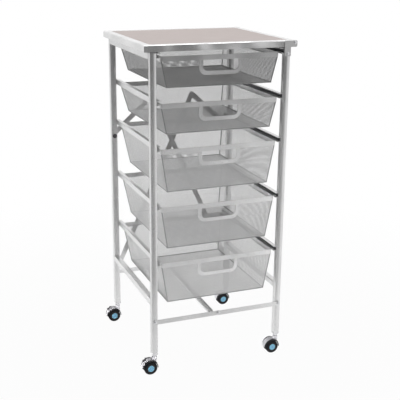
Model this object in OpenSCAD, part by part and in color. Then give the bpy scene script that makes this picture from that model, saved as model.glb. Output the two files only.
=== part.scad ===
// Folding drawer cart: square tube posts, five mesh drawers on side runners,
// a wood panel in a metal rim that is hinged on the right, and twin-wheel casters.
// Millimetres. Front is -Y, up is +Z, the floor is Z = 0, and the origin is
// under the middle of the whole object's box. Shapes are drawn from the middle
// of the four posts and moved by at_centre().

/* [Frame] */
// height of the whole cart
cart_h = 910; // [880:1:960]
// width over the outer faces of the posts
frame_w = 392; // [380:1:420]
// depth over the outer faces of the posts
frame_d = 384; // [376:1:410]
// side of the square post tube
post_s = 17; // [15:0.5:17]
// wall of the steel tube
tube_wall = 1.2; // [0.9:0.1:1.5]
// outer corner radius of the tube
tube_r = 2.4; // [2:0.1:3.5]
// height of the lower end of a post
post_foot_z = 63; // [62:0.5:70]
// gap between the side crossbar and the top frame
crossbar_gap = 3.5; // [3:0.1:6]
// height of the underside of the lower side bar
low_bar_z = 202; // [180:1:215]

/* [Plugs] */
// height of the tapered foot of a post plug
plug_foot_h = 8; // [6:0.5:9]
// inset of the plug foot at its lower edge
plug_taper = 2.6; // [1.6:0.1:3]
// height of the bend in the plug foot's slope
plug_bend_h = 3; // [2:0.5:4]
// inset of the plug foot at that bend
plug_bend_in = 0.9; // [0.4:0.1:1.4]
// length of a plug inside its tube
plug_in = 30; // [24:1:40]
// length of a top cap inside its tube
cap_in = 10; // [6:1:16]
// gap between a top cap and the top frame
top_rest_gap = 0.4; // [0.3:0.1:1]

/* [Bottom bars and strut] */
// height of a flat bar
bar_h = 13; // [11:0.5:14]
// thickness of every flat strip and bar
strip_t = 1.5; // [1.2:0.1:1.6]
// height of the middle of the front bar
front_bar_z = 156; // [140:1:170]
// height of the middle of the rear bar
rear_bar_z = 160; // [140:1:175]
// left edge of the centre strut
strut_x = -30; // [-40:1:-24]
// width of the centre strut
strut_w = 15; // [13:1:17]
// height of the two edge lips of the strut
strut_lip_h = 3; // [2:0.5:4]

/* [Rear scissor brace] */
// width of a brace strip
brace_w = 15; // [12:0.5:15]
// height of the crossing pivot
cross_z = 571; // [540:1:590]
// sideways distance of an apex pivot from the middle
apex_x = 64; // [55:1:75]
// height of the apex pivots
apex_z = 712; // [690:1:730]
// height of the link pivots on the rear posts
link_z = 602; // [590:1:612]
// shank radius of a rivet
rivet_r = 2.4; // [2:0.1:2.6]
// head radius of a rivet
rivet_head_r = 4.5; // [4:0.1:5.5]
// head height of a rivet
rivet_head_h = 1.4; // [1:0.1:1.5]
// radius of the larger rivet heads on the front bar
front_head_r = 5.2; // [4.5:0.1:6]
// height of the larger rivet heads on the front bar
front_head_h = 1.9; // [1.4:0.1:2.8]
// radius of the round pivot cap on a rear post
pivot_cap_r = 6.5; // [5.5:0.1:7]

/* [Top] */
// height of the metal top frame
top_h = 17; // [15:0.5:20]
// how far the top frame passes the posts on the left
top_left = 15.3; // [10:0.1:20]
// how far the top frame passes the posts on the right
top_right = 18.5; // [17.5:0.1:20]
// width of the top frame's rim
rim_w = 20; // [18:0.5:24]
// radius of the top frame's upper edges
top_r = 2.5; // [2:0.1:3]
// wall of the top frame's tube
top_wall = 1.5; // [1.2:0.1:2]
// thickness of the wood panel
panel_t = 12; // [9:0.5:13]
// gap round the wood panel
panel_gap = 0.3; // [0.2:0.1:0.6]
// width of the lip under the wood panel
panel_lip = 8; // [5:0.5:12]
// distance of the hinge pin from the right end of the top
hinge_in = 6.5; // [6:0.1:7]
// distance of the hinge pin below the top
hinge_down = 5.5; // [5.2:0.1:6]
// radius of the hinge pin
hinge_pin_r = 2.6; // [2:0.1:2.8]
// thickness of the hinge bracket
bracket_t = 2; // [1.5:0.1:2.4]
// length of the bracket leg on the post, below the top
bracket_leg = 24; // [22:1:40]
// height of the bracket rivet above the lower end of the leg
bracket_rivet_up = 7; // [6:0.5:7.5]

/* [Drawers] */
// distance of the highest rim below the top frame
first_rim_down = 12.5; // [12.1:0.1:14]
// height of the lowest rim above the floor
last_rim_z = 323; // [315:1:330]
// share of the drawers' height that the steps between the upper three take
shallow_share = 0.4323; // [0.42:0.0001:0.44]
// gap between the posts and a drawer rim, left and right
rim_side_gap = 13; // [12.6:0.1:14]
// distance of a drawer's front face behind the front of the posts
drawer_inset = 7.8; // [6:0.1:12]
// distance of a drawer's back before the back of the posts
drawer_rear_gap = 8.2; // [7:0.1:14]
// height of the rim band
band_h = 13; // [11:0.5:14]
// thickness of the rim band
band_t = 2; // [1.6:0.1:2.5]
// corner radius of the rim band
band_r = 6; // [4:0.5:9]
// how far the side flange passes the rim
flange_out = 11.5; // [10.5:0.1:12]
// thickness of the side flange
flange_t = 1.5; // [1.2:0.1:1.6]
// depth of a shallow drawer, rim edge to floor
shallow_depth = 81.3; // [70:0.1:86]
// depth of a deep drawer, rim edge to floor
deep_depth = 118; // [105:0.5:124]
// inset of a shallow drawer's floor on each side of the rim
shallow_floor_in = 17.5; // [14:0.5:26]
// inset of a deep drawer's floor on each side of the rim
deep_floor_in = 20; // [16:0.5:28]
// how far the floor starts behind the front of the rim
floor_front_in = 7; // [4:0.5:16]
// how far the floor ends before the back of the rim
floor_rear_in = 26; // [10:1:36]

/* [Expanded metal mesh] */
// thickness of the mesh sheet
net_t = 1.2; // [1:0.1:1.5]
// long pitch of the diamond openings
mesh_w = 40; // [36:1:60]
// short pitch of the diamond openings
mesh_h = 22; // [20:1:34]
// width of a mesh strand
strand = 3; // [2:0.5:4]
// solid border along the edges of a sheet
border = 4; // [3:0.5:6]
// how far a sheet laps behind the rim band or the handle plate
lap = 3; // [2:0.5:3.5]
// height of the relief cut at a sheet's upper corners, under the rim's round corner
nip_h = 10; // [9:0.5:14]

/* [Handles] */
// outer width of the handle plate
handle_w = 120; // [110:1:130]
// drop of the handle plate below the rim edge
handle_drop = 52.3; // [48:0.1:56]
// width of the plate's band at the sides
handle_side = 10; // [8:0.5:12]
// width of the plate's band at the bottom
handle_low = 10.7; // [8:0.1:12]
// outer corner radius of the plate
handle_r = 20; // [16:0.5:22]
// corner radius of the finger gap
finger_r = 12; // [8:0.5:14]
// thickness of the plate
handle_t = 1.4; // [1.2:0.1:1.6]
// width of the rolled lip round the finger gap
lip_w = 2.4; // [1.8:0.1:3]
// height of the rolled lip
lip_h = 3; // [2:0.1:3.4]

/* [Runners] */
// reach of a runner from the inner face of the posts
runner_w = 10; // [9:0.1:10.2]
// height of a runner
runner_h = 13.5; // [13:0.1:15]
// sheet thickness of a runner
runner_t = 1.5; // [1.2:0.1:1.6]
// gap between a drawer flange and the runner lip below it
runner_gap = 0.4; // [0.3:0.1:0.5]

/* [Casters] */
// radius of a wheel
wheel_r = 19; // [18:0.5:21]
// width of one of the two wheels
wheel_w = 9.3; // [8:0.1:10]
// thickness of the web between the two wheels
web_t = 6; // [5:0.5:7]
// gap between a wheel and the web
web_gap = 0.5; // [0.4:0.1:0.8]
// rounding of a wheel's edges
wheel_edge = 3.2; // [2:0.1:4]
// radius of a hub cap
hub_r = 11; // [9:0.1:12]
// distance of the wheel axis behind the swivel axis
trail = 13.5; // [10:0.5:15]
// gap between the wheels and the hood
hood_gap = 2.7; // [2.4:0.1:2.9]
// thickness of the hood
hood_t = 2; // [1.8:0.1:2.2]
// angle at which the hood starts, from level in front of the axle
hood_a0 = 34; // [30:1:40]
// angle at which the hood ends, near level behind the axle
hood_a1 = 178; // [170:1:179]
// gap between a wheel and the guard over its outer edge
guard_gap = 1; // [0.6:0.1:1.3]
// thickness of a guard at its two ends
guard_t = 1.3; // [1.1:0.1:1.6]
// how much thicker a guard is at its top
guard_rise = 2.3; // [2:0.1:2.4]
// width of a guard
guard_w = 4.3; // [3.5:0.1:5]
// height of the top of the swivel boss
boss_top_z = 50; // [49:0.5:53]
// radius of the swivel boss
boss_r = 7; // [6:0.5:9]
// radius of the swivel stem
stem_r = 4; // [3.5:0.1:4.2]
// radius of the axle
axle_r = 2.5; // [2:0.1:3]
// distance of the brake pin behind the wheel axis
brake_pin_x = 9.5; // [9.2:0.1:11]
// distance of the brake pin above the wheel axis
brake_pin_up = 24.7; // [24.7:0.1:25.5]
// distance of a brake tab's tip behind the wheel axis
brake_tip_x = 21; // [19:0.5:22]
// slope of a brake tab below level
brake_slope = 18; // [8:1:19]

/* [Fits] */
// radial clearance of turning parts
run_fit = 0.05; // [0.03:0.01:0.09]
// radial clearance of fixed parts
fix_fit = 0.02; // [0.01:0.01:0.05]
// gap between flat parts that lie on each other or meet at a seam
seam_gap = 0.05; // [0.03:0.01:0.1]

/* [Hidden] */
$fn = 64;
eps = 0.01;
layer = strip_t + seam_gap;
fx = frame_w / 2;
fy = frame_d / 2;
px = fx - post_s / 2;
py = fy - post_s / 2;
top_z0 = cart_h - top_h;
crossbar_top = top_z0 - crossbar_gap;
cap_h = crossbar_gap - top_rest_gap;
bracket_rivet_z = top_z0 - bracket_leg + bracket_rivet_up;
top_x0 = -fx - top_left;
top_x1 = fx + top_right;
top_y = fy - 0.3;
hinge_x = top_x1 - hinge_in;
hinge_z = cart_h - hinge_down;
hood_r = wheel_r + hood_gap + hood_t;
caster_out = trail + hood_r;
x_mid = (top_x1 - px - caster_out) / 2;
inner_x = fx - post_s;
drawer_w = frame_w - 2 * post_s - 2 * rim_side_gap;
drawer_d = frame_d - drawer_inset - drawer_rear_gap;
half_w = drawer_w / 2;
drawer_y0 = -fy + drawer_inset;
drawer_y1 = drawer_y0 + drawer_d;
drawer_top_z = top_z0 - first_rim_down;
rims_h = drawer_top_z - last_rim_z;
shallow_pitch = rims_h * shallow_share / 2;
deep_pitch = rims_h * (1 - shallow_share) / 2;
nip_w = band_r - band_t;
DROP = [0, shallow_pitch, 2 * shallow_pitch, 2 * shallow_pitch + deep_pitch,
        2 * shallow_pitch + 2 * deep_pitch];
function rim_z(k) = drawer_top_z - DROP[k - 1];
function depth_of(k) = k < 3 ? shallow_depth : deep_depth;
function floor_w_of(k) = drawer_w - 2 * (k < 3 ? shallow_floor_in : deep_floor_in);
flange_z = -0.1 - flange_t;
lip_top = flange_z - runner_gap;
runner_z0 = lip_top - runner_t;
runner_y0 = -fy + 2;
runner_y1 = drawer_y1 + 2 + runner_t;
CASTERS = ["fl", "fr", "rl", "rr"];
function side_x(c) = (c == "fl" || c == "rl") ? -1 : 1;
function side_y(c) = (c == "fl" || c == "fr") ? -1 : 1;

// Everything is moved so that the middle of the whole box is X = 0.
module at_centre() translate([-x_mid, 0, 0]) children();

// Rounded rectangle about the origin.
module rounded(w, d, r) {
  square([w, d - 2 * r], center = true);
  square([w - 2 * r, d], center = true);
  for (x = [-1, 1]) for (y = [-1, 1])
    translate([x * (w / 2 - r), y * (d / 2 - r)]) circle(r = r);
}

// Cross-section of a square tube, h high and post_s wide.
module tube_section(h = post_s) {
  difference() {
    rounded(post_s, h, tube_r);
    rounded(post_s - 2 * tube_wall, h - 2 * tube_wall, tube_r - tube_wall);
  }
}

// Posts. Each is drawn for its own corner, with the rivet holes it needs.
module post(sx, sy) {
  color("silver") difference() {
    translate([sx * px, sy * py, post_foot_z])
      linear_extrude(crossbar_top - post_foot_z) tube_section();
    // hole of the rivet that holds a bottom bar
    translate([sx * px, sy * fy, sy < 0 ? front_bar_z : rear_bar_z])
      rotate([90, 0, 0]) cylinder(r = rivet_r + fix_fit, h = 8, center = true);
    // hole of the link bolt through both walls of a rear post
    if (sy > 0) translate([sx * px, py, link_z])
      rotate([90, 0, 0]) cylinder(r = rivet_r + fix_fit, h = post_s + 4, center = true);
    // hole of the bracket rivet in a right post
    if (sx > 0) translate([px, sy * fy, bracket_rivet_z])
      rotate([90, 0, 0]) cylinder(r = rivet_r + fix_fit, h = 8, center = true);
  }
}

// Crossbar under the top and the low bar of a side, welded between its posts.
module side_bars(sx) {
  color("silver") for (z = [crossbar_top - post_s / 2, low_bar_z + post_s / 2])
    translate([sx * px, -fy + post_s, z])
      rotate([-90, 0, 0]) linear_extrude(frame_d - 2 * post_s) tube_section();
}

// Five runners of a side: channels open to the drawers, closed at the back.
module runners(sx) {
  color("gainsboro") for (k = [1:5])
    translate([0, 0, rim_z(k) + runner_z0]) scale_x(sx)
      translate([inner_x - runner_w, 0, 0]) difference() {
        translate([0, runner_y0, 0]) cube([runner_w, runner_y1 - runner_y0, runner_h]);
        translate([-1, runner_y0 - 1, runner_t])
          cube([runner_w + 1 - runner_t, runner_y1 - runner_y0 + 1 - runner_t,
                runner_h - 2 * runner_t]);
      }
}
module scale_x(sx) if (sx < 0) mirror([1, 0, 0]) children(); else children();
module scale_y(sy) if (sy < 0) mirror([0, 1, 0]) children(); else children();

// Plastic plugs: a tapered foot with the swivel bore below, a flat cap above.
module plug_foot() {
  w0 = post_s / 2 - plug_taper;
  wb = post_s / 2 - plug_bend_in;
  w1 = post_s / 2;
  side = [[-w0, 0], [w0, 0], [wb, plug_bend_h], [w1, plug_foot_h],
          [-w1, plug_foot_h], [-wb, plug_bend_h]];
  intersection() {
    rotate([90, 0, 0]) linear_extrude(post_s, center = true) polygon(side);
    rotate([90, 0, 90]) linear_extrude(post_s, center = true) polygon(side);
    linear_extrude(plug_foot_h) rounded(post_s, post_s, tube_r);
  }
}
module post_plugs() {
  inner = post_s - 2 * tube_wall - 2 * fix_fit;
  color("dimgray") for (sx = [-1, 1]) for (sy = [-1, 1]) {
    translate([sx * px, sy * py, post_foot_z - plug_foot_h]) difference() {
      union() {
        plug_foot();
        translate([0, 0, plug_foot_h - eps])
          linear_extrude(plug_in + eps) rounded(inner, inner, tube_r - tube_wall);
      }
      translate([0, 0, -1])
        cylinder(r = stem_r + run_fit, h = plug_foot_h + plug_in - 3);
    }
    translate([sx * px, sy * py, crossbar_top]) {
      linear_extrude(cap_h) rounded(post_s, post_s, tube_r);
      translate([0, 0, -cap_in])
        linear_extrude(cap_in + eps) rounded(inner, inner, tube_r - tube_wall);
    }
  }
}

// Hinge brackets: a leg on the right post and an ear out to the hinge pin.
module bracket_outline() {
  w = post_s + 1;
  difference() {
    union() {
      translate([fx - w / 2, top_z0 - bracket_leg / 2 + 1])
        rounded(w, bracket_leg + 2, 1.5);
      translate([(fx - w + top_x1) / 2, cart_h - top_h / 2 + 0.25])
        rounded(top_x1 - fx + w, top_h - 0.5, 3);
    }
    translate([hinge_x, hinge_z]) circle(r = hinge_pin_r + fix_fit);
    translate([px, bracket_rivet_z]) circle(r = rivet_r + fix_fit);
  }
}
module hinge_brackets() {
  color("darkgray") for (sy = [-1, 1]) scale_y(-sy)
    translate([0, -fy, 0]) rotate([90, 0, 0])
      linear_extrude(bracket_t) bracket_outline();
}
module hinge_pins() {
  color("gainsboro") for (sy = [-1, 1]) scale_y(-sy)
    translate([hinge_x, -fy - bracket_t, hinge_z]) rotate([90, 0, 0]) {
      dome(rivet_head_r, rivet_head_h);
      translate([0, 0, -bracket_t - 12]) cylinder(r = hinge_pin_r, h = bracket_t + 12 + eps);
    }
}

// Low rivet head with a rounded face, cut from a sphere.
module dome(r, h) {
  sr = (r * r + h * h) / (2 * h);
  intersection() {
    translate([0, 0, h - sr]) sphere(r = sr, $fn = 96);
    cylinder(r = r + 1, h = h + 1);
  }
}

// Flat strip from a to b in the XZ plane, with round ends and rivet holes.
module strip(a, b, w, holes) {
  dx = b[0] - a[0];
  dz = b[1] - a[1];
  len = sqrt(dx * dx + dz * dz);
  difference() {
    translate([a[0], a[1]]) rotate(atan2(dz, dx)) {
      translate([0, -w / 2]) square([len, w]);
      circle(r = w / 2);
      translate([len, 0]) circle(r = w / 2);
    }
    for (p = holes) translate(p) circle(r = rivet_r + fix_fit);
  }
}
// One layer of flat steel behind the rear posts, layer 0 on the posts.
module rear_layer(n) translate([0, fy + (n + 1) * layer, 0]) rotate([90, 0, 0])
  linear_extrude(strip_t) children();
module front_layer(n) translate([0, -fy - n * layer - seam_gap, 0]) rotate([90, 0, 0])
  linear_extrude(strip_t) children();

FL = [-px, front_bar_z];
FR = [px, front_bar_z];
RL = [-px, rear_bar_z];
RR = [px, rear_bar_z];
MID_F = [0, front_bar_z];
MID_R = [0, rear_bar_z];
CROSS = [0, cross_z];
APEX_L = [-apex_x, apex_z];
APEX_R = [apex_x, apex_z];
LINK_L = [-px, link_z];
LINK_R = [px, link_z];

// Bottom bars: each is two halves that fold at the middle rivet.
module front_bar() color("silver") {
  front_layer(0) strip(FL, MID_F, bar_h, [FL, MID_F]);
  front_layer(1) strip(MID_F, FR, bar_h, [MID_F, FR]);
}
module rear_bar() color("silver") {
  rear_layer(0) strip(RL, MID_R, bar_h, [RL, MID_R]);
  rear_layer(1) strip(MID_R, RR, bar_h, [MID_R, RR]);
}

// Centre strut: a shallow channel open above, from the front bar to the rear bar. Its
// ends are bent down behind the bars.
module centre_strut() {
  rise = rear_bar_z - front_bar_z;
  zc = front_bar_z + bar_h / 2;
  y1 = 2 * fy;
  y2 = y1 - strip_t;
  color("silver") {
    translate([strut_x, -fy, 0]) rotate([90, 0, 90]) linear_extrude(strut_w)
      polygon([[0, zc - bar_h], [strip_t, zc - bar_h], [strip_t, zc - strip_t],
               [y2, zc + rise - strip_t], [y2, zc + rise - bar_h],
               [y1, zc + rise - bar_h], [y1, zc + rise], [0, zc]]);
    for (x = [0, strut_w - strip_t])
      translate([strut_x + x, -fy, 0]) rotate([90, 0, 90]) linear_extrude(strip_t)
        polygon([[strip_t, zc - strip_t / 2], [y2, zc + rise - strip_t / 2],
                 [y2, zc + rise + strut_lip_h], [strip_t, zc + strut_lip_h]]);
  }
}

// Scissor brace: two long strips cross, and two links tie their upper ends to the posts.
module brace_strips() color("silver") {
  rear_layer(1) strip(RL, APEX_R, brace_w, [RL, CROSS, APEX_R]);
  rear_layer(2) strip(RR, APEX_L, brace_w, [RR, CROSS, APEX_L]);
}
module brace_links() color("silver") {
  rear_layer(0) strip(LINK_R, APEX_R, brace_w, [LINK_R, APEX_R]);
  rear_layer(1) strip(LINK_L, APEX_L, brace_w, [LINK_L, APEX_L]);
}

// A rivet along Y: shank from y0 to y1, a head on its y1 side and one on y0 if two.
module rivet(p, y0, y1, two = false, r = rivet_head_r, h = rivet_head_h) {
  d = y1 > y0 ? 1 : -1;
  translate([p[0], 0, p[1]]) {
    translate([0, d > 0 ? y0 : y1, 0]) rotate([-90, 0, 0])
      cylinder(r = rivet_r, h = abs(y1 - y0));
    translate([0, y1, 0]) rotate([d > 0 ? -90 : 90, 0, 0]) dome(r, h);
    if (two) translate([0, y0, 0])
      rotate([d > 0 ? 90 : -90, 0, 0]) dome(rivet_head_r, rivet_head_h);
  }
}
// Washer that fills the unused layers at a rivet, from y0 to y1.
module washer(p, y0, y1) translate([p[0], y0, p[1]]) rotate([-90, 0, 0])
  difference() {
    cylinder(r = rivet_head_r, h = y1 - y0);
    translate([0, 0, -1]) cylinder(r = rivet_r + fix_fit, h = y1 - y0 + 2);
  }
module rivets() {
  t = layer;
  color("gainsboro") {
    rivet(FL, -fy + 3, -fy - t, false, front_head_r, front_head_h);
    rivet(FR, -fy + 3, -fy - 2 * t, false, front_head_r, front_head_h);
    washer(FR, -fy - t, -fy - seam_gap);
    rivet(MID_F, -fy, -fy - 2 * t, false, front_head_r, front_head_h);
    translate([0, -fy, MID_F[1]]) rotate([-90, 0, 0]) dome(rivet_head_r, rivet_head_h);
    rivet(RL, fy - 3, fy + 2 * t);
    rivet(RR, fy - 3, fy + 3 * t);
    washer(RR, fy + seam_gap, fy + t);
    rivet(MID_R, fy, fy + 2 * t, true);
    rivet(CROSS, fy + t, fy + 3 * t, true);
    rivet(APEX_R, fy, fy + 2 * t, true);
    rivet(APEX_L, fy + t, fy + 3 * t, true);
    rivet(LINK_R, fy - post_s, fy + t);
    rivet(LINK_L, fy - post_s, fy + 2 * t);
    washer(LINK_L, fy + seam_gap, fy + t);
    for (sy = [-1, 1])
      rivet([px, bracket_rivet_z], sy * (fy - 3), sy * (fy + bracket_t));
  }
}

// Round caps over the link bolts on the front faces of the rear posts.
module pivot_caps() color("dimgray") for (sx = [-1, 1])
  translate([sx * px, fy - post_s, link_z]) rotate([90, 0, 0]) {
    cylinder(r = pivot_cap_r, h = 2);
    translate([0, 0, 2 - eps]) dome(pivot_cap_r - 0.6, 1.6);
  }

// Box with rounded vertical edges and rounded upper edges.
module soft_top_box(x0, x1, y0, y1, z0, z1, r) {
  translate([(x0 + x1) / 2, (y0 + y1) / 2, z0])
    linear_extrude(z1 - z0 - r) rounded(x1 - x0, y1 - y0, r);
  translate([x0 + r, y0 + r, z1 - r - eps]) cube([x1 - x0 - 2 * r, y1 - y0 - 2 * r, r + eps]);
  for (y = [y0 + r, y1 - r]) translate([x0 + r, y, z1 - r])
    rotate([0, 90, 0]) cylinder(r = r, h = x1 - x0 - 2 * r);
  for (x = [x0 + r, x1 - r]) translate([x, y0 + r, z1 - r])
    rotate([-90, 0, 0]) cylinder(r = r, h = y1 - y0 - 2 * r);
  for (x = [x0 + r, x1 - r]) for (y = [y0 + r, y1 - r])
    translate([x, y, z1 - r]) sphere(r = r);
}

// Top frame: a hollow rim with a lip that carries the panel.
module top_frame() {
  lip_z1 = cart_h - panel_t;
  color("whitesmoke") difference() {
    soft_top_box(top_x0, top_x1, -top_y, top_y, top_z0, cart_h, top_r);
    // seat of the panel
    translate([top_x0 + rim_w, -top_y + rim_w, lip_z1])
      cube([top_x1 - top_x0 - 2 * rim_w, 2 * top_y - 2 * rim_w, panel_t + 1]);
    // open middle under the panel
    translate([top_x0 + rim_w + panel_lip, -top_y + rim_w + panel_lip, top_z0 - 1])
      cube([top_x1 - top_x0 - 2 * rim_w - 2 * panel_lip,
            2 * top_y - 2 * rim_w - 2 * panel_lip, top_h]);
    // space under the lip
    translate([top_x0 + rim_w, -top_y + rim_w, top_z0 - 1])
      cube([top_x1 - top_x0 - 2 * rim_w, 2 * top_y - 2 * rim_w, top_h - panel_t - top_wall + 1]);
    // hollow of the rim
    difference() {
      translate([top_x0 + top_wall, -top_y + top_wall, top_z0 + top_wall])
        cube([top_x1 - top_x0 - 2 * top_wall, 2 * top_y - 2 * top_wall, top_h - 2 * top_wall]);
      translate([top_x0 + rim_w - top_wall, -top_y + rim_w - top_wall, top_z0])
        cube([top_x1 - top_x0 - 2 * rim_w + 2 * top_wall,
              2 * top_y - 2 * rim_w + 2 * top_wall, top_h]);
    }
    // bores of the hinge pins
    for (sy = [-1, 1]) translate([hinge_x, sy * top_y, hinge_z])
      rotate([90, 0, 0]) cylinder(r = hinge_pin_r + run_fit, h = 6, center = true);
  }
}
module top_panel() color("rosybrown")
  translate([top_x0 + rim_w + panel_gap, -top_y + rim_w + panel_gap, cart_h - panel_t])
    cube([top_x1 - top_x0 - 2 * rim_w - 2 * panel_gap,
          2 * top_y - 2 * rim_w - 2 * panel_gap, panel_t]);

// Drawer rim: a band with rounded corners and a flange on each side.
module drawer_rim(k) {
  z = rim_z(k);
  color("gainsboro") {
    translate([0, (drawer_y0 + drawer_y1) / 2, z - band_h]) linear_extrude(band_h)
      difference() {
        rounded(drawer_w, drawer_d, band_r);
        rounded(drawer_w - 2 * band_t, drawer_d - 2 * band_t, band_r - band_t);
      }
    for (sx = [-1, 1]) scale_x(sx)
      translate([half_w - 0.5, drawer_y0 + band_r, z + flange_z])
        cube([flange_out + 0.5, drawer_d - 2 * band_r, flange_t]);
  }
}

// Diamonds of the expanded mesh that lie inside a strip of the sheet. The sheet
// runs from y0 to y1 with the sides x = xl0..xl1 on the left and xr0..xr1 on the right.
module diamonds(y0, y1, xl0, xl1, xr0, xr1) {
  a = mesh_w / 2 - strand / 2;
  b = mesh_h / 2 - strand / 2;
  slope_l = (xl1 - xl0) / (y1 - y0);
  slope_r = (xr1 - xr0) / (y1 - y0);
  xm = min(xl0, xl1);
  rows = floor(2 * (y1 - y0) / mesh_h);
  cols = floor((max(xr0, xr1) - xm) / mesh_w) + 1;
  for (j = [1:rows]) for (i = [0:cols])
    let (v = y0 + j * mesh_h / 2, u = xm + i * mesh_w + (j % 2) * mesh_w / 2)
    if (v - b > y0 + border && v + b < y1 - border
        && u - a > xl0 + slope_l * (v - y0) + border
        && u + a < xr0 + slope_r * (v - y0) - border)
      translate([u, v]) polygon([[a, 0], [0, b], [-a, 0], [0, -b]]);
}
// Sheet between two sloping edges with its diamonds cut out, and with the relief
// cut nl or nr wide at its upper left or right corner.
module sheet(y0, y1, xl0, xl1, xr0, xr1, nl = 0, nr = 0) linear_extrude(net_t) {
  part = 1 - nip_h / (y1 - y0);
  nip_l = [[xl1 + nl, y1], [xl0 + (xl1 - xl0) * part, y1 - nip_h]];
  nip_r = [[xr0 + (xr1 - xr0) * part, y1 - nip_h], [xr1 - nr, y1]];
  difference() {
    polygon(concat([[xl0, y0], [xr0, y0]], nr > 0 ? nip_r : [[xr1, y1]],
                   nl > 0 ? nip_l : [[xl1, y1]]));
    diamonds(y0, y1, xl0, xl1, xr0, xr1);
  }
}

// Basket: floor, back, two sides and a front in three sheets round the finger gap.
module drawer_basket(k) {
  z0 = -depth_of(k);
  z1 = -band_h + lap;
  h = z1 - z0;
  bx = floor_w_of(k) / 2;
  tx = half_w - band_t;
  by0 = drawer_y0 + floor_front_in;
  ty0 = drawer_y0 + band_t;
  by1 = drawer_y1 - floor_rear_in;
  ty1 = drawer_y1 - band_t;
  lean_x = atan2(tx - bx, h);
  lean_f = atan2(by0 - ty0, h);
  lean_r = atan2(ty1 - by1, h);
  in_x = net_t / cos(lean_x) + 2 * seam_gap;
  fx0 = bx - net_t * cos(lean_x) - 2 * seam_gap;
  hx = handle_w / 2 - lap;
  f = 1 / cos(lean_f);
  translate([0, 0, rim_z(k)]) color("silver") {
    // floor
    translate([0, 0, z0])
      sheet(by0 + net_t + seam_gap, by1 - net_t - seam_gap, -fx0, -fx0, fx0, fx0);
    // sides
    for (sx = [-1, 1]) scale_x(sx) translate([bx, 0, z0]) rotate([0, lean_x, 0])
      rotate([90, 0, 90]) translate([0, 0, -net_t])
        sheet(0, h / cos(lean_x), by0, ty0, by1, ty1, nip_w, nip_w);
    // back
    translate([0, by1, z0]) rotate([-lean_r, 0, 0]) rotate([90, 0, 0])
      sheet(0, h / cos(lean_r), -bx + in_x, -tx + in_x, bx - in_x, tx - in_x, nip_w, nip_w);
    // front, left and right of the handle and below it
    translate([0, by0, z0]) rotate([lean_f, 0, 0]) rotate([90, 0, 0])
      translate([0, 0, -net_t]) {
        sheet(0, h * f, -bx + in_x, -tx + in_x, -hx - seam_gap, -hx - seam_gap, nip_w, 0);
        sheet(0, h * f, hx + seam_gap, hx + seam_gap, bx - in_x, tx - in_x, 0, nip_w);
        sheet(0, (lap - handle_drop - z0) * f, -hx, -hx, hx, hx);
      }
  }
}

// Handle: a plate with round lower corners round the finger gap, with a rolled lip.
module handle_outline(w, top, low, r) {
  translate([-w / 2, low + r]) square([w, top - low - r]);
  translate([-w / 2 + r, low]) square([w - 2 * r, r + 1]);
  for (sx = [-1, 1]) translate([sx * (w / 2 - r), low + r]) circle(r = r);
}
module drawer_handle(k) {
  h = depth_of(k) - band_h + lap;
  by0 = drawer_y0 + floor_front_in;
  ty0 = drawer_y0 + band_t;
  lean_f = atan2(by0 - ty0, h);
  top = -0.2;
  low = -handle_drop + band_h;
  gap_w = handle_w - 2 * handle_side;
  gap_low = low + handle_low;
  y_at = ty0 + lap * tan(lean_f) - seam_gap;
  color("lightgray") translate([0, y_at, rim_z(k) - band_h])
    rotate([lean_f, 0, 0]) rotate([90, 0, 0]) {
      linear_extrude(handle_t) difference() {
        handle_outline(handle_w, top, low, handle_r);
        handle_outline(gap_w, top + 5, gap_low, finger_r);
      }
      linear_extrude(lip_h) difference() {
        handle_outline(gap_w + 2 * lip_w, top, gap_low - lip_w, finger_r + lip_w);
        handle_outline(gap_w, top + 5, gap_low, finger_r);
      }
    }
}

// Casters. Each is drawn about its swivel axis, with the wheel axis trail to the left.
module at_caster(c) translate([side_x(c) * px, side_y(c) * py, 0]) children();
module at_axle(c) at_caster(c) translate([-trail, 0, wheel_r]) rotate([90, 0, 0]) children();

module caster_stem(c) color("gainsboro") at_caster(c) {
  translate([0, 0, boss_top_z]) cylinder(r = stem_r + 1.8,
    h = post_foot_z - plug_foot_h - boss_top_z - 0.4);
  translate([0, 0, boss_top_z - 10]) cylinder(r = stem_r,
    h = post_foot_z + plug_in - 5 - boss_top_z + 10);
}

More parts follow.
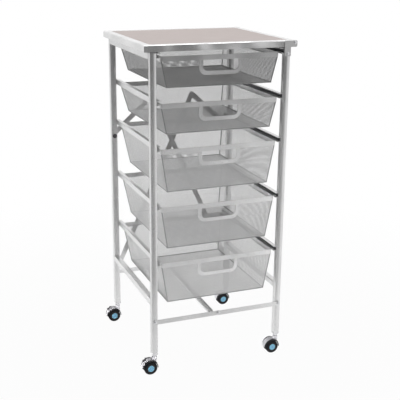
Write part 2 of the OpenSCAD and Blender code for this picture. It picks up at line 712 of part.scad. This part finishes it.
// Hood over the middle of both wheels, the web between them, the swivel boss, and a
// guard over the outer edge of each wheel that is thickest at its top.
module hood_arc(r0, r1, a0, a1) {
  difference() {
    circle(r = r1);
    circle(r = r0);
    rotate(a1) translate([-2 * r1, 0]) square([4 * r1, 4 * r1]);
    rotate(a0) translate([-2 * r1, -4 * r1]) square([4 * r1, 4 * r1]);
  }
}
module guard_arc() {
  inner = wheel_r + guard_gap;
  difference() {
    translate([0, guard_rise]) circle(r = inner + guard_t);
    circle(r = inner);
    translate([-2 * inner, -2 * inner]) square([4 * inner, 2 * inner]);
  }
}
module caster_hood(c) {
  full = web_t + 2 * web_gap + 2 * wheel_w;
  mid = full - 2 * guard_w;
  braked = side_x(c) < 0;
  color("gainsboro") difference() {
    union() {
      at_axle(c) {
        linear_extrude(mid, center = true)
          hood_arc(wheel_r + hood_gap, hood_r, hood_a0, hood_a1);
        for (s = [0, 1]) rotate([0, 180 * s, 0]) translate([0, 0, mid / 2 - eps])
          linear_extrude(guard_w + eps) guard_arc();
        linear_extrude(web_t, center = true) {
          hood_arc(0, hood_r - 0.5, hood_a0 + 2, hood_a1 - 2);
          circle(r = 9);
          translate([-9, 0]) square([22, 14]);
        }
        if (braked) for (s = [-1, 1]) translate([0, 0, s * 6])
          linear_extrude(2, center = true) translate([-brake_pin_x, brake_pin_up - 3])
            rounded(7, 12, 2);
      }
      at_caster(c) translate([0, 0, wheel_r + 17])
        cylinder(r = boss_r, h = boss_top_z - wheel_r - 17);
    }
    at_axle(c) {
      cylinder(r = axle_r + fix_fit, h = 60, center = true);
      for (s = [0, 1]) rotate([0, 180 * s, 0]) {
        translate([0, 0, web_t / 2])
          cylinder(r = wheel_r + hood_gap - 0.01, h = (mid - web_t) / 2 - eps);
        translate([0, 0, web_t / 2])
          cylinder(r = wheel_r + guard_gap - 0.01, h = full);
      }
      if (braked) translate([-brake_pin_x, brake_pin_up])
        cylinder(r = 1.3 + run_fit, h = 20, center = true);
    }
    at_caster(c) translate([0, 0, boss_top_z - 10.5]) cylinder(r = stem_r + fix_fit, h = 12);
  }
}
module caster_axle(c) color("silver") at_axle(c)
  cylinder(r = axle_r, h = web_t + 2 * web_gap + 2 * wheel_w - 5, center = true);

// Wheel profile in radius and width: round tread edges, a recess for the hub cap.
module wheel_profile() {
  w = wheel_w;
  e = wheel_edge;
  difference() {
    union() {
      translate([axle_r + run_fit, 0]) square([wheel_r - e - axle_r - run_fit, w]);
      translate([wheel_r - e - eps, e]) square([e + eps, w - 2 * e]);
      translate([wheel_r - e, e]) circle(r = e);
      translate([wheel_r - e, w - e]) circle(r = e);
    }
    translate([0, w - 2.2]) square([hub_r + fix_fit, 5]);
  }
}
module caster_wheels(c) color("black") at_axle(c) for (s = [0, 1]) rotate([180 * s, 0, 0])
  translate([0, 0, web_t / 2 + web_gap]) rotate_extrude() wheel_profile();
module caster_hubs(c) color("skyblue") at_axle(c) for (s = [0, 1]) rotate([180 * s, 0, 0])
  translate([0, 0, web_t / 2 + web_gap + wheel_w - 2.2]) {
    cylinder(r = hub_r, h = 2.2);
    translate([0, 0, 2.2 - eps]) dome(hub_r - 1.2, 0.8);
  }

// Brake tab of a left caster, on a pin between the two ears of its hood.
module brake(c) color("dimgray") at_axle(c) translate([-brake_pin_x, brake_pin_up, 0]) {
  lip_r = 1.4;
  tip = brake_tip_x - brake_pin_x - lip_r;
  cylinder(r = 1.3, h = 13.6, center = true);
  rotate(180 + brake_slope) linear_extrude(9, center = true) {
    circle(r = 2.4);
    translate([0, -1.1]) square([tip, 2.2]);
    translate([tip, 0]) circle(r = lip_r);
  }
}

at_centre() post(-1, -1);  // left_front_post
at_centre() post(-1, 1);  // left_rear_post
at_centre() post(1, -1);  // right_front_post
at_centre() post(1, 1);  // right_rear_post
at_centre() side_bars(-1);  // left_side_bars
at_centre() side_bars(1);  // right_side_bars
at_centre() runners(-1);  // left_runners
at_centre() runners(1);  // right_runners
at_centre() post_plugs();
at_centre() hinge_brackets();
at_centre() hinge_pins();
at_centre() front_bar();
at_centre() rear_bar();
at_centre() centre_strut();
at_centre() brace_strips();
at_centre() brace_links();
at_centre() rivets();
at_centre() pivot_caps();
at_centre() top_frame();
at_centre() top_panel();
for (k = [1:5]) {
  at_centre() drawer_rim(k);
  at_centre() drawer_basket(k);
  at_centre() drawer_handle(k);
}
for (c = CASTERS) {
  at_centre() caster_stem(c);
  at_centre() caster_hood(c);
  at_centre() caster_axle(c);
  at_centre() caster_wheels(c);
  at_centre() caster_hubs(c);
}
at_centre() brake("fl");  // brake_fl
at_centre() brake("rl");  // brake_rl
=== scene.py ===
# Folding drawer cart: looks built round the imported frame. Metres, front is -Y.
import math

import bpy
from mathutils import Matrix, Vector


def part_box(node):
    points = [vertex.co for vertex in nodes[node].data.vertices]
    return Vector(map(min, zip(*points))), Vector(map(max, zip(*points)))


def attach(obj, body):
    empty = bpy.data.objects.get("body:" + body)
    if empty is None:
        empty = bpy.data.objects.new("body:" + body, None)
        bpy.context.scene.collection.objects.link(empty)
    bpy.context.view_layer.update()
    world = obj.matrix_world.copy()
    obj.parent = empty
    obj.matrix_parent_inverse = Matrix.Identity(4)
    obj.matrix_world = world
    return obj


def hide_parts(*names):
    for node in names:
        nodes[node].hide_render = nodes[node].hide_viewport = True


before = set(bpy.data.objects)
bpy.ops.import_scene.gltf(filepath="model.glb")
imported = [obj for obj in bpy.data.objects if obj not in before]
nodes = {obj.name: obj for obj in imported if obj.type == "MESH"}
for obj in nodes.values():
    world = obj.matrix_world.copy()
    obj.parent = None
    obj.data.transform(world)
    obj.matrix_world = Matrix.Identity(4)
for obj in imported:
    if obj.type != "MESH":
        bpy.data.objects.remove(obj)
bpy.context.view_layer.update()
MM = 0.001


# The square posts, side bars, runners and flat bars of the frame. They are welded
# and riveted steel with a satin silver-grey powder coat over all of it. The inner
# faces of the runner channels, and of the right side bars up high, are painted
# near black as shade.
FRAME_GREY = (0.75, 0.75, 0.75)
FRAME_WAVE = 4 * MM
POST_CROWN = 0.42
RUNNER_WALL = 1.5 * MM
INNER_SHADE_GREY = (0.12, 0.12, 0.13)
OVER_LOW_BARS = 0.5


def plug(tree, node, inputs):
    """Sets a node's inputs. A value can be another node's output, which gets linked."""
    for key, value in inputs.items():
        if isinstance(value, bpy.types.NodeSocket):
            tree.links.new(value, node.inputs[key])
        else:
            node.inputs[key].default_value = value


def add(tree, kind, inputs, output=0, **settings):
    """A new node of this kind. Returns one of its outputs."""
    node = tree.nodes.new("ShaderNode" + kind)
    for key, value in settings.items():
        setattr(node, key, value)
    plug(tree, node, inputs)
    return node.outputs[output]


def maths(tree, operation, *values):
    """A number worked out from plain numbers and other nodes' outputs."""
    return add(tree, "Math", dict(enumerate(values)), operation=operation)


def vector(tree, operation, *values):
    """A vector operation. Lengths and dot products come out as numbers."""
    number = operation in ("LENGTH", "DOT_PRODUCT")
    return add(tree, "VectorMath", dict(enumerate(values)), "Value" if number else "Vector",
               operation=operation)


def axis(tree, place, name):
    """One coordinate of a place."""
    return add(tree, "SeparateXYZ", {0: place}, name)


def between(tree, value, low, high, start=0.0, end=1.0):
    """Low where the value is at its start, high where it is at its end."""
    return add(tree, "MapRange", {"Value": value, "From Min": start, "From Max": end,
                                  "To Min": low, "To Max": high})


def noise(tree, place, scale, detail=2.0, **more):
    """Soft noise from 0 to 1."""
    return add(tree, "TexNoise", {"Vector": place, "Scale": scale, "Detail": detail, **more},
               "Fac")


def bumps(tree, height, **inputs):
    """A normal that follows the height."""
    return add(tree, "Bump", {"Height": height, **inputs}, "Normal")


def either_colour(tree, factor, first, second):
    """The first colour where the factor is 0, the second where it is 1."""
    return add(tree, "Mix", {"Factor": factor, "A": first, "B": second}, "Result",
               data_type="RGBA")


def ramp(tree, factor, *stops):
    """Colours along the factor. Each stop is its position and its colour."""
    node = tree.nodes.new("ShaderNodeValToRGB")
    tree.links.new(factor, node.inputs["Fac"])
    elements = node.color_ramp.elements
    for number, (position, colour) in enumerate(stops):
        element = elements[number] if number < 2 else elements.new(position)
        element.position = position
        element.color = (*colour, 1)
    return node.outputs["Color"]


def shade(colour, by):
    """The colour darker or lighter, at most white."""
    return [min(1, c * by) for c in colour]


def new_material(name):
    """A node material, its tree, its shader and the object's own coordinates."""
    material = bpy.data.materials.new(name)
    material.use_nodes = True
    tree = material.node_tree
    place = tree.nodes.new("ShaderNodeTexCoord").outputs["Object"]
    return material, tree, tree.nodes["Principled BSDF"], place


def powder_coat(name, colour, roughness=0.28, metallic=0.8, peel=0.08, wave=0.0):
    """Sprayed metal paint: faint cloudiness and orange peel. wave is the height of the
    slow waves that rolling leaves in a long thin strip."""
    material, tree, shader, place = new_material(name)
    cloud = noise(tree, place, 14.0, detail=4.0)
    grain = noise(tree, place, 900.0)
    relief = {"Strength": peel, "Distance": 0.2 * MM}
    if wave:
        roll = noise(tree, place, 7.0, detail=1.0)
        relief["Normal"] = bumps(tree, roll, Distance=wave)
    plug(tree, shader, {
        "Metallic": metallic,
        "Base Color": ramp(tree, cloud, (0.3, shade(colour, 0.94)), (0.7, shade(colour, 1.05))),
        "Roughness": between(tree, grain, roughness - 0.05, roughness + 0.07),
        "Normal": bumps(tree, grain, **relief)})
    return material


def paint(material, *names):
    """The CAD nodes keep their shape and get this finish."""
    for name in names:
        nodes[name].data.materials.clear()
        nodes[name].data.materials.append(material)


def paint_inner_shade(material, face_x, low_z, colour):
    """The inner face at face_x is painted in the given colour above low_z, as painted shade."""
    tree = material.node_tree
    shader = tree.nodes["Principled BSDF"]
    place = tree.nodes.new("ShaderNodeTexCoord").outputs["Object"]
    painted = shader.inputs["Base Color"].links[0].from_socket
    on_face = maths(tree, "COMPARE", axis(tree, place, "X"), face_x, 0.4 * MM)
    above = maths(tree, "GREATER_THAN", axis(tree, place, "Z"), low_z)
    both = maths(tree, "MULTIPLY", on_face, above)
    plug(tree, shader, {"Base Color": either_colour(tree, both, painted, (*colour, 1))})
    return material


def crowned(material, middle, reach, half, slope):
    """Drawn square tubes, whose faces swell towards their middle. The tubes stand at
    reach, left and right, before and behind the middle. slope is at the tube's edges."""
    tree = material.node_tree
    place = tree.nodes.new("ShaderNodeTexCoord").outputs["Object"]
    from_middle = vector(tree, "ABSOLUTE", vector(tree, "SUBTRACT", place, middle))
    from_tube = vector(tree, "SUBTRACT", from_middle, reach)
    flat = vector(tree, "MULTIPLY", from_tube, (1, 1, 0))
    fall = vector(tree, "DOT_PRODUCT", flat, flat)
    node = tree.nodes.new("ShaderNodeBump")
    node.invert = True
    plug(tree, node, {"Height": fall, "Distance": slope / (2 * half)})
    peel = tree.nodes["Principled BSDF"].inputs["Normal"].links[0].from_node
    plug(tree, peel, {"Normal": node.outputs["Normal"]})
    return material


left_post, right_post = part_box("left_front_post"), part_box("right_rear_post")
post_half = (left_post[1].x - left_post[0].x) / 2
post_middle = Vector(((left_post[0].x + right_post[1].x) / 2,
                      (left_post[0].y + right_post[1].y) / 2, 0))
post_reach = Vector((right_post[1].x - post_half, right_post[1].y - post_half, 0)) - post_middle
post_coat = crowned(powder_coat("post_powder_coat", FRAME_GREY),
                    post_middle, post_reach, post_half, POST_CROWN)
frame_coat = powder_coat("frame_powder_coat", FRAME_GREY, wave=FRAME_WAVE)
paint(post_coat, "left_front_post", "left_rear_post", "right_front_post", "right_rear_post")
paint(frame_coat, "left_side_bars", "hinge_brackets", "front_bar", "rear_bar",
      "centre_strut", "brace_strips", "brace_links")
# Painted shade: near black on the inner webs of the runner channels, and on the inner face of the
# right side bars above OVER_LOW_BARS, under the top.
for name, face_x, low_z in (
        ("left_runners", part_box("left_runners")[0].x + RUNNER_WALL, 0.0),
        ("right_runners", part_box("right_runners")[1].x - RUNNER_WALL, 0.0),
        ("right_side_bars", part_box("right_side_bars")[0].x, OVER_LOW_BARS)):
    channel_coat = powder_coat(f"{name}_coat", FRAME_GREY, wave=FRAME_WAVE)
    paint(paint_inner_shade(channel_coat, face_x, low_z, INNER_SHADE_GREY), name)


# Rivets, hinge pins, caster axles and stems. They are zinc-plated steel, set by a press,
# and the stems are bright chrome.
STEEL = (0.86, 0.86, 0.88)
CORNERS = ("fl", "fr", "rl", "rr")


def bare_metal(name, colour, roughness):
    """Plated steel with fine turning marks in its gloss."""
    material, tree, shader, place = new_material(name)
    marks = noise(tree, place, 500.0)
    plug(tree, shader, {
        "Metallic": 1.0,
        "Base Color": ramp(tree, marks, (0.0, shade(colour, 0.85)), (1.0, colour)),
        "Roughness": between(tree, marks, roughness * 0.7, roughness * 1.4)})
    return material


paint(bare_metal("rivet_steel", STEEL, 0.45), "rivets", "hinge_pins",
      *[f"caster_{c}_axle" for c in CORNERS])
paint(bare_metal("stem_chrome", STEEL, 0.10), *[f"caster_{c}_stem" for c in CORNERS])


# Moulded plastic and rubber: grey post plugs, dark pivot caps and brake tabs, black
# tyres, and blue hub caps with a black edge.
PLUG_GREY = (0.62, 0.62, 0.63)
CAP_DARK = (0.05, 0.045, 0.05)
TYRE_BLACK = (0.006, 0.006, 0.008)
HUB_BLUE = (0.16, 0.44, 0.62)
HUB_CORE_REFLECTION = (0.15, 0.28, 0.58)
HUB_EDGE = (0.01, 0.01, 0.012)


def moulded(name, colour, roughness):
    """Injection-moulded plastic with a fine tool texture."""
    material, tree, shader, place = new_material(name)
    grain = noise(tree, place, 700.0)
    plug(tree, shader, {
        "Base Color": ramp(tree, grain, (0.0, shade(colour, 0.94)), (1.0, shade(colour, 1.06))),
        "Roughness": between(tree, grain, roughness * 0.85, roughness * 1.15),
        "Normal": bumps(tree, grain, Strength=0.15, Distance=0.1 * MM)})
    return material


def hub_cap(corner):
    """A glossy blue cap with a painted purple reflection at its core, and a black rim at its edge.
    """
    low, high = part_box(f"caster_{corner}_hubs")
    material = moulded(f"hub_plastic_{corner}", HUB_BLUE, 0.22)
    tree = material.node_tree
    place = tree.nodes.new("ShaderNodeTexCoord").outputs["Object"]
    offset = vector(tree, "SUBTRACT", place, (low + high) / 2)
    out = vector(tree, "LENGTH", vector(tree, "MULTIPLY", offset, (1, 0, 1)))
    share = between(tree, out, 0.0, 1.0, end=(high.z - low.z) / 2)
    # Painted reflection: a purple-blue patch at the core of the cap.
    rings = ramp(tree, share, (0.10, HUB_CORE_REFLECTION), (0.30, HUB_BLUE), (0.80, HUB_BLUE),
                 (0.84, HUB_EDGE))
    plug(tree, tree.nodes["Principled BSDF"], {"Base Color": rings, "Coat Weight": 0.5})
    return material


tyre_rubber = moulded("tyre_rubber", TYRE_BLACK, 0.7)
tyre_rubber.node_tree.nodes["Principled BSDF"].inputs["Specular IOR Level"].default_value = 0.3
paint(moulded("plug_plastic", PLUG_GREY, 0.4), "post_plugs")
paint(moulded("dark_plastic", CAP_DARK, 0.4), "pivot_caps", "brake_fl", "brake_rl")
paint(tyre_rubber, *[f"caster_{c}_wheels" for c in CORNERS])
for corner in CORNERS:
    paint(hub_cap(corner), f"caster_{corner}_hubs")


# The caster hoods: one clear lilac moulding over the middle of both wheels, with a black
# guard over the outer edge of each wheel.
HOOD_LILAC = (0.95, 0.94, 0.98)
HOOD_HALF = 8.4 * MM


def hood_shell(name, axle_y):
    """Clear near the middle of the axle, black further out than half the shell."""
    material, tree, shader, place = new_material(name)
    from_caster = maths(tree, "SUBTRACT", maths(tree, "ABSOLUTE", axis(tree, place, "Y")), axle_y)
    guard = maths(tree, "GREATER_THAN", maths(tree, "ABSOLUTE", from_caster), HOOD_HALF)
    plug(tree, shader, {
        "Base Color": either_colour(tree, guard, (*HOOD_LILAC, 1), (*TYRE_BLACK, 1)),
        "Transmission Weight": between(tree, guard, 0.2, 0.0),
        "Roughness": between(tree, guard, 0.15, 0.4),
        "Specular IOR Level": 0.35})
    return material


axle_low, axle_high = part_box("caster_rl_axle")
paint(hood_shell("hood_plastic", (axle_low.y + axle_high.y) / 2),
      *[f"caster_{c}_hood" for c in CORNERS])


# The top: a metal rim with rounded upper edges, and a taupe wood-grain panel in it. The
# panel's underside is painted near black as shade, which keeps the drawers below it dark.
RIM_GREY = (0.80, 0.80, 0.80)
RIM_WAVE = 24 * MM
WOOD_LIGHT = (0.56, 0.49, 0.47)
WOOD_DARK = (0.44, 0.375, 0.355)
UNDERSIDE_SHADE = (0.07, 0.06, 0.055)


def wood_grain(name, shade_below_z):
    """Long fibres and slow bands along X under a matt lacquer. Below the given height
    the panel is painted near black as shade."""
    material, tree, shader, place = new_material(name)
    along = add(tree, "Mapping", {"Vector": place, "Scale": (1.6, 26.0, 26.0)}, "Vector")
    fibre = noise(tree, along, 9.0, detail=8.0, Roughness=0.62, Distortion=0.35)
    wood = ramp(tree, fibre, (0.32, WOOD_DARK), (0.66, WOOD_LIGHT))
    # Painted shade: near black below the given height, on the panel's underside.
    above = maths(tree, "GREATER_THAN", axis(tree, place, "Z"), shade_below_z)
    plug(tree, shader, {
        "Base Color": either_colour(tree, above, (*UNDERSIDE_SHADE, 1), wood),
        "Roughness": between(tree, fibre, 0.42, 0.6),
        "Normal": bumps(tree, fibre, Strength=0.25, Distance=0.3 * MM)})
    return material


paint(powder_coat("top_rim_coat", RIM_GREY, roughness=0.22, wave=RIM_WAVE), "top_frame")
panel_low, panel_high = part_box("top_panel")
paint(wood_grain("wood_panel", (panel_low.z + panel_high.z) / 2), "top_panel")


# The five drawers: a painted rim and handle plate, and a basket of expanded mesh with
# wires along its edges, which are painted dark grey as shade. Each sheet is strands in two
# directions, trimmed to its outline.
# The handle and the basket begin at their drops below the rim's top.
DRAWER_GREY = (0.78, 0.78, 0.78)
MESH_GREY = (0.62, 0.62, 0.62)
FOLD_SHADE_GREY = (0.36, 0.36, 0.36)
LONG_PITCH = 5.0 * MM
SHORT_PITCH = 2.9 * MM
STRAND_WIDTH = 0.78 * MM
STRAND_THICK = 0.20 * MM
SHEET = 1.2 * MM
WIRE_RADIUS = 1.4 * MM
FLOOR_HALF_SHALLOW = 148.5 * MM
FLOOR_HALF_DEEP = 146.0 * MM
SHALLOW_DRAWERS = 2
FRONT_LEAN = 5 * MM
BACK_LEAN = 24 * MM
WELD_LAP = 3 * MM
HANDLE_WIDTH = 120 * MM
HANDLE_DROP = 52.3 * MM
BASKET_DROP = 10 * MM


def deselect():
    """Nothing is selected before the next operator."""
    bpy.ops.object.select_all(action="DESELECT")


def take(*pieces):
    """Selects these pieces and makes the first one active."""
    deselect()
    for piece in pieces:
        piece.select_set(True)
    bpy.context.view_layer.objects.active = pieces[0]
    return pieces[0]


def settle(piece):
    """The piece's place and turn go into its mesh."""
    take(piece)
    bpy.ops.object.transform_apply(location=True, rotation=True, scale=True)
    return piece


def strands(outline, slant):
    """Parallel strands over the outline's box, at the mesh's slant or its mirror."""
    us = [p[0] for p in outline]
    vs = [p[1] for p in outline]
    width, height = max(us) - min(us), max(vs) - min(vs)
    rise = SHORT_PITCH / LONG_PITCH * slant
    angle = math.atan(rise)
    length = (width + 2 * LONG_PITCH) / math.cos(angle)
    drift = abs(rise) * width / 2
    first = min(vs) - drift
    bpy.ops.mesh.primitive_cube_add(size=1, location=((max(us) + min(us)) / 2, first, 0),
                                    rotation=(0, 0, angle),
                                    scale=(length, STRAND_WIDTH, STRAND_THICK))
    one = settle(bpy.context.object)
    row = one.modifiers.new("row", "ARRAY")
    row.use_relative_offset = False
    row.use_constant_offset = True
    row.constant_offset_displace = (0, SHORT_PITCH, 0)
    row.count = int((height + 2 * drift) / SHORT_PITCH) + 1
    bpy.ops.object.modifier_apply(modifier="row")
    return one


def mesh_sheet(outline, place):
    """Expanded mesh inside a convex outline in the XY plane, moved to its place."""
    sheet = strands(outline, 1)
    other = strands(outline, -1)
    take(sheet, other)
    bpy.ops.object.join()
    bpy.ops.object.mode_set(mode="EDIT")
    for (u0, v0), (u1, v1) in zip(outline, outline[1:] + outline[:1]):
        bpy.ops.mesh.select_all(action="SELECT")
        bpy.ops.mesh.bisect(plane_co=(u0, v0, 0), plane_no=(v1 - v0, u0 - u1, 0),
                            use_fill=True, clear_outer=True)
    bpy.ops.object.mode_set(mode="OBJECT")
    sheet.matrix_world = place
    return settle(sheet)


def plane_of(origin, u, v):
    """The place of a sheet whose own X and Y run along u and v from origin."""
    u, v = Vector(u).normalized(), Vector(v).normalized()
    w = u.cross(v).normalized()
    v = w.cross(u)
    turn = Matrix((u, v, w)).transposed().to_4x4()
    return Matrix.Translation(Vector(origin)) @ turn


def rod(start, end):
    """Round wire from start to end."""
    start, end = Vector(start), Vector(end)
    run = end - start
    bpy.ops.mesh.primitive_cylinder_add(vertices=10, radius=WIRE_RADIUS, depth=run.length,
                                        location=(start + end) / 2,
                                        rotation=run.to_track_quat("Z", "Y").to_euler())
    piece = settle(bpy.context.object)
    take(piece)
    bpy.ops.object.shade_smooth_by_angle(angle=math.radians(40))
    return piece


def ring(half_x, front_y, back_y, z):
    """The four corners of a basket at one height, from the front left one."""
    return [(frame_mid - half_x, front_y, z), (frame_mid + half_x, front_y, z),
            (frame_mid + half_x, back_y, z), (frame_mid - half_x, back_y, z)]


drawer_coat = powder_coat("drawer_coat", DRAWER_GREY, metallic=0.5, wave=14 * MM)
mesh_coat = powder_coat("mesh_coat", MESH_GREY, roughness=0.45, metallic=0.1, peel=0.0)
mesh_coat.node_tree.nodes["Principled BSDF"].inputs["Specular IOR Level"].default_value = 0.25
# Painted shade: the edge wires are dark grey, for the shade along the basket's folds.
fold_shade_coat = powder_coat("fold_shade_coat", FOLD_SHADE_GREY, roughness=0.45, metallic=0.35, peel=0.0)
frame_mid = (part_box("left_front_post")[0].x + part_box("right_front_post")[1].x) / 2
for number in range(1, 6):
    body = f"drawer_{number}"
    low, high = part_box(f"{body}_basket")
    deep = high.z - low.z
    half = SHEET / 2
    top_half = (high.x - low.x) / 2
    floor_half = FLOOR_HALF_SHALLOW if number <= SHALLOW_DRAWERS else FLOOR_HALF_DEEP
    front_top, back_top = low.y, high.y
    front_low, back_low = low.y + FRONT_LEAN, high.y - BACK_LEAN
    # floor
    sheets = [mesh_sheet(
        [(-floor_half, front_low), (floor_half, front_low),
         (floor_half, back_low), (-floor_half, back_low)],
        Matrix.Translation((frame_mid, 0, low.z + half)))]
    # the two sides and the back
    slope = math.hypot(top_half - floor_half, deep)
    for side in (-1, 1):
        sheets.append(mesh_sheet(
            [(front_low, 0), (back_low, 0), (back_top, slope), (front_top, slope)],
            plane_of((frame_mid + side * (floor_half - half), 0, low.z), (0, 1, 0),
                     (side * (top_half - floor_half), 0, deep))))
    slope = math.hypot(back_top - back_low, deep)
    sheets.append(mesh_sheet(
        [(-floor_half, 0), (floor_half, 0), (top_half, slope), (-top_half, slope)],
        plane_of((frame_mid, back_low - half, low.z), (1, 0, 0),
                 (0, back_top - back_low, deep))))
    # front, below and beside the handle
    slope = math.hypot(front_low - front_top, deep)
    gap_half = HANDLE_WIDTH / 2 - WELD_LAP
    gap_low = slope - (HANDLE_DROP - BASKET_DROP - WELD_LAP)
    edge = floor_half + (top_half - floor_half) * gap_low / slope
    front_place = plane_of((frame_mid, front_low + half, low.z), (1, 0, 0),
                           (0, front_top - front_low, deep))
    for outline in (
            [(-floor_half, 0), (floor_half, 0), (edge, gap_low), (-edge, gap_low)],
            [(-edge, gap_low), (-gap_half, gap_low), (-gap_half, slope), (-top_half, slope)],
            [(gap_half, gap_low), (edge, gap_low), (top_half, slope), (gap_half, slope)]):
        sheets.append(mesh_sheet(outline, front_place))
    # edge wires, painted dark grey as shade
    base = ring(floor_half - half, front_low + half, back_low - half, low.z + half)
    rim = ring(top_half - half, front_top + half, back_top - half, high.z - half)
    folds = []
    for i in range(4):
        folds.append(rod(base[i], base[(i + 1) % 4]))
        folds.append(rod(base[i], rim[i]))
    fold = take(*folds)
    bpy.ops.object.join()
    fold.name = f"{body}_folds"
    fold.data.materials.clear()
    fold.data.materials.append(fold_shade_coat)
    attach(fold, body)
    basket = take(*sheets)
    bpy.ops.object.join()
    basket.name = f"{body}_mesh"
    basket.data.materials.clear()
    basket.data.materials.append(mesh_coat)
    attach(basket, body)
    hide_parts(f"{body}_basket")
    paint(drawer_coat, f"{body}_rim", f"{body}_handle")


# Floor, backdrop, lamps and camera. They are not part of the cart. The studio is white
# behind and beside the cart, and dark on the side where the camera stands.
DARK_SIDE = (-0.6, -0.8, 0.0)
WHITE = (1, 1, 1, 1)


def stage_white():
    """White to the camera, with a soft shadow near the cart. Reflections see the floor
    white round the cart and grey towards the dark side. Its bounce light on the cart
    fades out with distance."""
    material, tree, _, place = new_material("stage_white")
    tree.nodes.remove(tree.nodes["Principled BSDF"])
    away = vector(tree, "LENGTH", place)
    lit = add(tree, "BsdfDiffuse", {"Color": (0.4, 0.4, 0.4, 1)})
    white = add(tree, "Emission", {"Color": WHITE})
    share = between(tree, away, 0.97, 1.0, start=0.5, end=1.5)
    to_camera = add(tree, "MixShader", {0: share, 1: lit, 2: white})
    along = vector(tree, "DOT_PRODUCT", vector(tree, "NORMALIZE", place), DARK_SIDE)
    dark = maths(tree, "MULTIPLY", between(tree, along, 0.0, 1.0, start=0.32, end=0.58),
                 between(tree, away, 0.1, 1.0, start=0.3, end=1.0))
    mirrored = add(tree, "Emission", {"Color": WHITE, "Strength": between(tree, dark, 0.95, 0.22)})
    fading = between(tree, away, 0.85, 0.0, start=0.4, end=1.8)
    bounce = add(tree, "Emission", {"Color": WHITE, "Strength": fading})
    to_cart = add(tree, "AddShader", {0: lit, 1: bounce})
    path = tree.nodes.new("ShaderNodeLightPath").outputs
    unseen = add(tree, "MixShader", {0: path["Is Glossy Ray"], 1: to_cart, 2: mirrored})
    seen = add(tree, "MixShader", {0: path["Is Camera Ray"], 1: unseen, 2: to_camera})
    plug(tree, tree.nodes["Material Output"], {"Surface": seen})
    return material


deselect()
bpy.ops.mesh.primitive_plane_add(size=40, location=(0, 0, 0))
floor = bpy.context.object
floor.name = "floor"
floor.data.materials.append(stage_white())

# The room itself gives no light. The camera sees it white, and reflections see it white
# too, but grey on the dark side.
world = bpy.data.worlds.new("studio")
bpy.context.scene.world = world
world.use_nodes = True
tree = world.node_tree
tree.nodes.clear()
path = tree.nodes.new("ShaderNodeLightPath").outputs
heading = tree.nodes.new("ShaderNodeTexCoord").outputs["Generated"]
along = vector(tree, "DOT_PRODUCT", heading, DARK_SIDE)
in_metal = add(tree, "Mix", {"Factor": path["Is Glossy Ray"], "A": 0.0,
                             "B": between(tree, along, 1.0, 0.20, start=0.22, end=0.50)},
               "Result")
seen = maths(tree, "MAXIMUM", path["Is Camera Ray"], path["Is Transmission Ray"])
strength = add(tree, "Mix", {"Factor": seen, "A": in_metal, "B": 1.0}, "Result")
sky = add(tree, "Background", {"Color": WHITE, "Strength": strength})
plug(tree, tree.nodes.new("ShaderNodeOutputWorld"), {"Surface": sky})


def softbox(name, place, aim, size, power, spread=180, mirrored=True):
    """Square area lamp turned to a point. A grid on it narrows the spread, in degrees.
    Reflections may leave it out."""
    data = bpy.data.lights.new(name, "AREA")
    data.shape = "RECTANGLE"
    data.size, data.size_y = size
    data.energy = power
    data.spread = math.radians(spread)
    lamp = bpy.data.objects.new(name, data)
    lamp.visible_camera = False
    lamp.visible_glossy = mirrored
    bpy.context.collection.objects.link(lamp)
    lamp.location = place
    lamp.rotation_euler = (Vector(aim) - Vector(place)).to_track_quat("-Z", "Y").to_euler()


softbox("top_softbox", (0.0, 0.1, 2.9), (0, 0, 0.5), (2.0, 2.0), 44)
softbox("high_left", (-2.0, 0.3, 1.7), (0, 0, 0.4), (1.2, 0.6), 3)
softbox("low_left", (-1.3, 0.1, 0.36), (0, 0.1, 0.36), (1.2, 0.74), 2.3, spread=24,
        mirrored=False)
softbox("low_front", (0.1, -1.3, 0.36), (0.1, 0, 0.36), (1.2, 0.76), 1.7, spread=24,
        mirrored=False)

# The camera was fitted to the photograph: its turn, pitch and roll in degrees, its place
# from the middle of the frame, and its focal length in pixels of the 400 pixel picture.
TURN, PITCH, ROLL = -21.74, 17.14, 0.59
FROM_MIDDLE = (-0.84699, -2.16992, 1.15179)
FOCAL_PIXELS = 830.63
PICTURE_PIXELS = 400
SENSOR = 36.0
scene = bpy.context.scene
scene.view_settings.view_transform = "Standard"
turn, pitch, roll = math.radians(TURN), math.radians(PITCH), math.radians(ROLL)
back = Vector((math.sin(turn) * math.cos(pitch), -math.cos(turn) * math.cos(pitch),
               math.sin(pitch)))
side = Vector((math.cos(turn), math.sin(turn), 0))
up = back.cross(side)
right = math.cos(roll) * side + math.sin(roll) * up
top = math.cos(roll) * up - math.sin(roll) * side
eye = Vector((frame_mid, 0, 0)) + Vector(FROM_MIDDLE)
camera = bpy.data.objects.new("camera", bpy.data.cameras.new("camera"))
bpy.context.collection.objects.link(camera)
camera.data.sensor_width = SENSOR
camera.data.lens = FOCAL_PIXELS / PICTURE_PIXELS * SENSOR
camera.matrix_world = Matrix.Translation(eye) @ Matrix((right, top, back)).transposed().to_4x4()
scene.camera = camera
